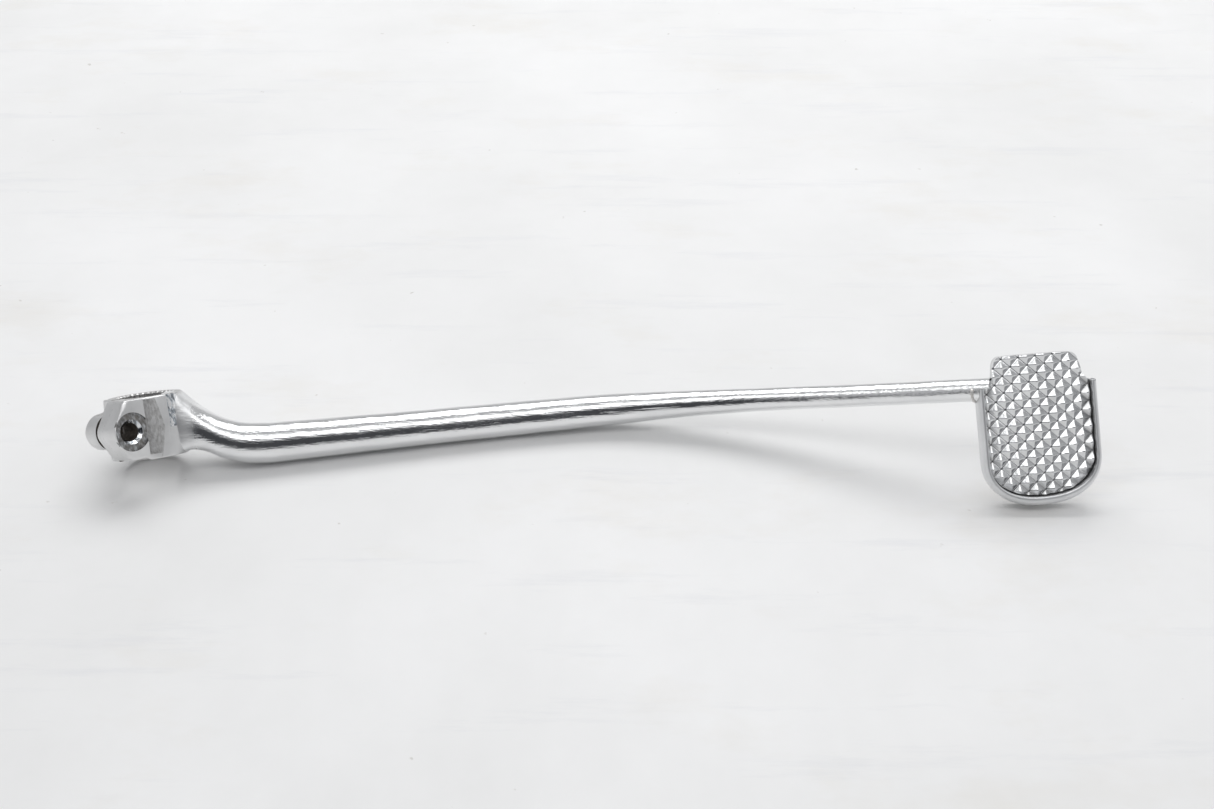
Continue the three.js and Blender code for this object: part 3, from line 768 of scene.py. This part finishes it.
def cup():
    """Pressed cup. Every ring is the outline drawn in by a share of the rim's thickness, at a depth:
    from the middle of the back, round the back's edge, up the wall, over the lip and down to the floor.
    Across the tongue there is no wall, so its rings stay at the floor."""
    outer = u_outline(PAD["half"], PAD["bottom"])
    inner = u_outline(PAD["half"] - PAD["wall"], PAD["bottom"] - PAD["sill"])
    tongue = tongue_outline(1.5, PAD["half"] - 0.5)
    tongue_in = tongue + (HUB - tongue) * 0.08
    outline = np.vstack([outer, tongue])
    inside = np.vstack([inner, tongue_in])
    walled = np.concatenate([np.ones(len(outer)), np.zeros(len(tongue))])
    floor, depth = PAD["floor"], PAD["depth"]
    back = 1.5  # rounding of the back's edge
    lip, crown, inner_lip = 3.2, 0.78, 0.45  # lip's fall outwards, its highest line, its fall inwards
    rings = []

    def ring(share, level_wall, level_open=None, hub=0.0):
        flat = outline + (inside - outline) * share
        flat = flat + (HUB - flat) * hub
        level = walled * level_wall + (1 - walled) * (level_wall if level_open is None else level_open)
        rings.append(on_pad(flat[:, 0], flat[:, 1], level))

    for hub in (1.0, 0.6, 0.25, 0.10):
        ring(0, depth, depth, hub)
    for a in np.linspace(0, math.pi / 2, 7):
        ring(0, depth - back * (1 - math.cos(a)), depth - 0.6 * (1 - math.cos(a)), 0.075 * (1 - math.sin(a)))
    for level in np.linspace(depth - back - 0.6, lip, 10):
        ring(0, level, floor + 0.4)
    for a in np.linspace(0, math.pi / 2, 16)[1:]:
        ring(crown * (1 - math.cos(a)), lip * (1 - math.sin(a)), floor)
    for a in np.linspace(0, math.pi / 2, 6)[1:]:
        ring(crown + (1 - crown) * math.sin(a), inner_lip * (1 - math.cos(a)), floor)
    for level in np.linspace(inner_lip + 0.4, floor - 0.8, 8):
        ring(1, level, floor)
    for a in np.linspace(0, math.pi / 2, 5)[1:]:
        ring(1, floor - 0.8 * (1 - math.sin(a)), floor, 0.04 * (1 - math.cos(a)))
    for hub in (0.25, 0.6, 1.0):
        ring(1, floor, floor, hub)
    shell = surface("cup", np.stack(rings), wrap_columns=True)
    shade(shell, 40)
    return shell


TOOTH = {"half": 3.0, "phase": (0.24, 0.53), "height": 1.5, "valley": 2.6, "camber": 1.0}


def tread_level(x, y):
    """Height of the tread's face (minus depth under the rim), and how near a groove each point is: a
    cambered base with square pyramids set on their corners, H times (1 - the larger diagonal coordinate),
    crests and valleys slightly rounded."""
    p, q = (x - TOOTH["phase"][0]) / TOOTH["half"], (y - TOOTH["phase"][1]) / TOOTH["half"]
    a = np.abs((p + q) % 2 - 1)
    b = np.abs((p - q) % 2 - 1)
    m = soft_max(1 - a, 1 - b, 0.05)
    round_valley = np.where(m > 0.9, 0.9 + 0.1 * np.tanh((m - 0.9) / 0.1), m)
    fall = (x / PAD["half"]) ** 2 + 0.6 * ((y + 14) / 30) ** 2
    crest = 1 - np.sqrt(round_valley**2 + 0.0025) + 0.02
    base = -TOOTH["valley"] - TOOTH["camber"] * np.minimum(fall, 1.4)
    return base + TOOTH["height"] * crest, round_valley


def tread():
    """Serrated plate: a fine square grid lifted to the tread's face, closed by its back and sides, and
    cut to the plate's outline."""
    step = TOOTH["half"] / 12
    x = TOOTH["phase"][0] + step * np.arange(-84, 85)
    y = TOOTH["phase"][1] + step * np.arange(-180, 49)
    gx, gy = np.meshgrid(x, y, indexing="ij")
    top = on_pad(gx, gy, -tread_level(gx, gy)[0])
    back = on_pad(gx, gy, PAD["floor"] - 0.3)
    n, m = gx.shape
    upper = grid_faces(n, m, False, False)
    lower = upper[:, ::-1] + n * m
    index = np.arange(n * m).reshape(n, m)
    border = np.concatenate([index[:, 0], index[-1, 1:], index[-2::-1, -1], index[0, -2:0:-1]])
    after = np.roll(border, -1)
    wall = np.column_stack([border, after, after + n * m, border + n * m])
    points = np.vstack([top.reshape(-1, 3), back.reshape(-1, 3)])
    slab = mesh_piece("tread", points, np.vstack([upper, lower, wall]))
    gap, above, below = 0.5, -1.0, 7.0  # air beside the rim; where the outline's prism starts and ends
    half, bottom = PAD["half"] - PAD["wall"] - gap, PAD["bottom"] - PAD["sill"] - gap
    outline = np.vstack([u_outline(half, bottom), tongue_outline(0, half)[1:-1]])
    hub = np.broadcast_to(HUB, outline.shape)
    rings = [(hub, above), (outline, above), (outline, below), (hub, below)]
    prism = np.stack([on_pad(line[:, 0], line[:, 1], depth) for line, depth in rings])
    combine(slab, surface("outline_tool", prism, wrap_columns=True), "INTERSECT")
    shade(slab, 42)
    local = vertices_of(slab) - PAD["centre"]
    level, groove = tread_level(local[:, 0], local[:, 2])
    on_face = np.abs(-local[:, 1] - level) < 0.05
    # painted shade for the material: grooves darken, much more near the rim, and the plate's sides and back
    # get a fixed 0.6
    edge_shade = smoothstep(0.72, 0.98, np.maximum(np.abs(local[:, 0]) / 19.0, (-local[:, 2] - 8) / 33.0))
    value = 0.22 * smoothstep(0.9, 1.0, groove) + 0.75 * edge_shade * smoothstep(0.45, 0.8, groove)
    paint(slab, "groove", np.where(on_face, np.minimum(value, 1), 0.6))
    return slab


def pad_weld():
    """Bead in the corner between the bar and the cup's wall: a ring whose section swells and sinks with
    each ripple, and which dips under the bar's skin above the cup's rim."""
    x = PAD["centre"][0] - PAD["half"] - 0.15
    centre = np.array([x, *spline_through(ROUTE, np.array([x]))[0]])
    ahead = np.array([x - 2, *spline_through(ROUTE, np.array([x - 2.0]))[0]])
    forward = (centre - ahead) / np.linalg.norm(centre - ahead)
    across = np.cross(forward, SHAFTWARD)
    across /= np.linalg.norm(across)
    upward = np.cross(across, forward)
    turn = np.linspace(0, 2 * math.pi, 240, endpoint=False)[:, None]
    section = np.linspace(0, 2 * math.pi, 24, endpoint=False)[None, :]
    beads = 0.16 * np.sin(17 * turn + 0.8 * np.sin(3 * turn))
    lumps = 1 + beads + 0.12 * ripples(turn, section, 9, 12, 0.9, 3)
    dip = 0.75 * smoothstep(0.05, 0.5, np.sin(turn))
    radius = 3.95 - dip + 0.55 * lumps * np.cos(section)
    along = 0.6 * lumps * np.sin(section)
    spread = radius[..., None] * (np.cos(turn)[..., None] * across + np.sin(turn)[..., None] * upward)
    bead = surface("pad_weld_bead", centre + spread + along[..., None] * forward, True, True)
    shade(bead, 60)
    return bead


def plug(name, y):
    """Plug weld in the cup's back: a disc that swells to a low dome, H times (1 - (r / R) squared), with
    rings left by the arc."""
    edge = 3.15
    r = np.linspace(0, edge, 26)[:, None]
    turn = np.linspace(0, 2 * math.pi, 96, endpoint=False)[None, :]
    wander = 1 + 0.03 * np.sin(3 * turn + 1) + 0.02 * np.sin(7 * turn)
    rings = 0.07 * np.sin(r * 5 + 0.6 * np.sin(2 * turn)) * (1 - r / edge) * smoothstep(0, 0.8, r)
    dome = 0.45 * (1 - (r / edge) ** 2) + rings
    face = on_pad(r * wander * np.cos(turn), y + r * wander * np.sin(turn), PAD["depth"] + dome)
    foot = on_pad(r[::-1] * wander * np.cos(turn), y + r[::-1] * wander * np.sin(turn), PAD["floor"] + 0.1)
    piece = surface(name, np.vstack([face, foot]), wrap_columns=True)
    shade(piece, 50)
    return piece


# ---- bench, light and camera -------------------------------------------------------------------


def bench_paint():
    """Pale painted board with faint stains, brushed smears, pale scratches and a few specks."""
    sheet = Sheet("bench_paint")
    clouds = sheet.noise(sheet.place((5, 5, 5)), 1.0, 6.0, 0.6)
    blots = sheet.noise(sheet.place((9, 16, 9)), 1.0, 5.0, 0.65)
    smears = sheet.noise(sheet.place((7, 60, 20), (0, 0, 0.12)), 1.0, 6.0, 0.7)
    specks = sheet.noise(sheet.place((160, 160, 160)), 1.0, 2.0)
    fibre = sheet.noise(sheet.place((120, 30, 60)), 1.0, 4.0)
    pale = sheet.ramp(clouds, (0.35, (0.81, 0.81, 0.805)), (0.65, (0.89, 0.89, 0.89)))
    tan, slate, brown = (0.70, 0.65, 0.56, 1), (0.70, 0.71, 0.74, 1), (0.45, 0.42, 0.38, 1)
    stained = sheet.mix(sheet.patches(blots, 0.54, 0.72) * 0.22, pale, tan)
    smeared = sheet.mix(sheet.patches(smears, 0.56, 0.68) * 0.30, stained, slate)
    specked = sheet.mix(sheet.patches(specks, 0.75, 0.79) * 0.5, smeared, brown)
    roughness = 0.45 + 0.2 * fibre
    grain = sheet.bump(fibre, 0.05, 0.0004)
    return sheet.finish(Base_Color=specked, Roughness=roughness, Normal=grain)


def stage_piece(name, points, faces, material):
    """Something of the room: a mesh in metres that isn't part of the lever."""
    mesh = bpy.data.meshes.new(name)
    mesh.from_pydata(points, [], faces)
    piece = bpy.data.objects.new(name, mesh)
    bpy.context.scene.collection.objects.link(piece)
    mesh.materials.append(material)
    mesh.shade_smooth()


def bench():
    """Board that curves up into a wall far behind: height 0, then a quarter circle, then straight up."""
    x = np.linspace(-2.2, 2.2, 60)
    run = np.linspace(-0.9, 4.0, 120)
    bend, radius = 2.2, 0.5
    angle = np.clip((run - bend) / radius, 0, math.pi / 2)
    y = np.where(run < bend, run, bend + radius * np.sin(angle))
    wall = np.maximum(run - bend - radius * math.pi / 2, 0)
    z = np.where(run < bend, 0, radius * (1 - np.cos(angle))) + wall
    grid = np.stack(np.broadcast_arrays(x[:, None], y[None, :], z[None, :]), -1)
    faces = grid_faces(len(x), len(run), False, False)[:, ::-1]
    stage_piece("bench", grid.reshape(-1, 3).tolist(), faces.tolist(), bench_paint())


def lamp(name, place, size, power):
    """Rectangular soft light that shines straight down."""
    data = bpy.data.lights.new(name, "AREA")
    data.shape = "RECTANGLE"
    data.size, data.size_y = size
    data.energy = power
    light = bpy.data.objects.new(name, data)
    bpy.context.scene.collection.objects.link(light)
    light.location = place


def light_room():
    """Pale room, a light behind the lever and one before it, and the dark side of the room that the
    polished bar shows as a band."""
    world = bpy.data.worlds.new("room")
    world.use_nodes = True
    world.node_tree.nodes["Background"].inputs[0].default_value = (0.48, 0.485, 0.495, 1)
    bpy.context.scene.world = world
    lamp("back_panel", (0.05, 0.90, 1.3), (1.5, 0.95), 14.5)
    lamp("front_panel", (0.2, -0.53, 1.3), (2.4, 0.48), 5.6)
    left, right, front, low, high = -0.9, 0.55, -1.3, 0.06, 1.45
    corners = [(left, front, low), (right, front, low), (right, front, high), (left, front, high)]
    black = Sheet("card_black").finish(Base_Color=(0.06, 0.062, 0.068, 1), Roughness=0.9)
    stage_piece("dark_card", corners, [(0, 1, 2, 3)], black)


def camera():
    """Looks down at the bench from in front, at 35 degrees."""
    data = bpy.data.cameras.new("camera")
    data.sensor_width = 36
    data.lens = 49.46
    eye = bpy.data.objects.new("camera", data)
    bpy.context.scene.collection.objects.link(eye)
    eye.location = (0.00594, -0.4948, 0.3736)
    eye.rotation_euler = (math.radians(55), 0, 0)
    bpy.context.scene.camera = eye
    bpy.context.scene.view_settings.view_transform = "Standard"


# ---- assembly ----------------------------------------------------------------------------------

clamp_piece = clamp()
clamp_finishes = [forging_chrome(), polished_chrome(), milled_steel(), seat_steel(), hole_steel()]
fit(clamp_piece, clamp_finishes, "forging", "clamp_boss", areas=clamp_areas(clamp_piece))
fit(arm(), [bar_chrome()], "bar", "lever_arm", "boss_weld")
fit(cup(), [cup_chrome()], "cup", "pad_shell")
fit(tread(), [tread_chrome()], "tread", "tread_plate")
weld = weld_chrome()
fit(pad_weld(), [weld], "weld", "pad_weld")
fit(plug("plug_upper", -6.0), [weld], "weld", "tread_plug_upper")
fit(plug("plug_lower", -28.0), [weld], "weld", "tread_plug_lower")

bench()
light_room()
camera()
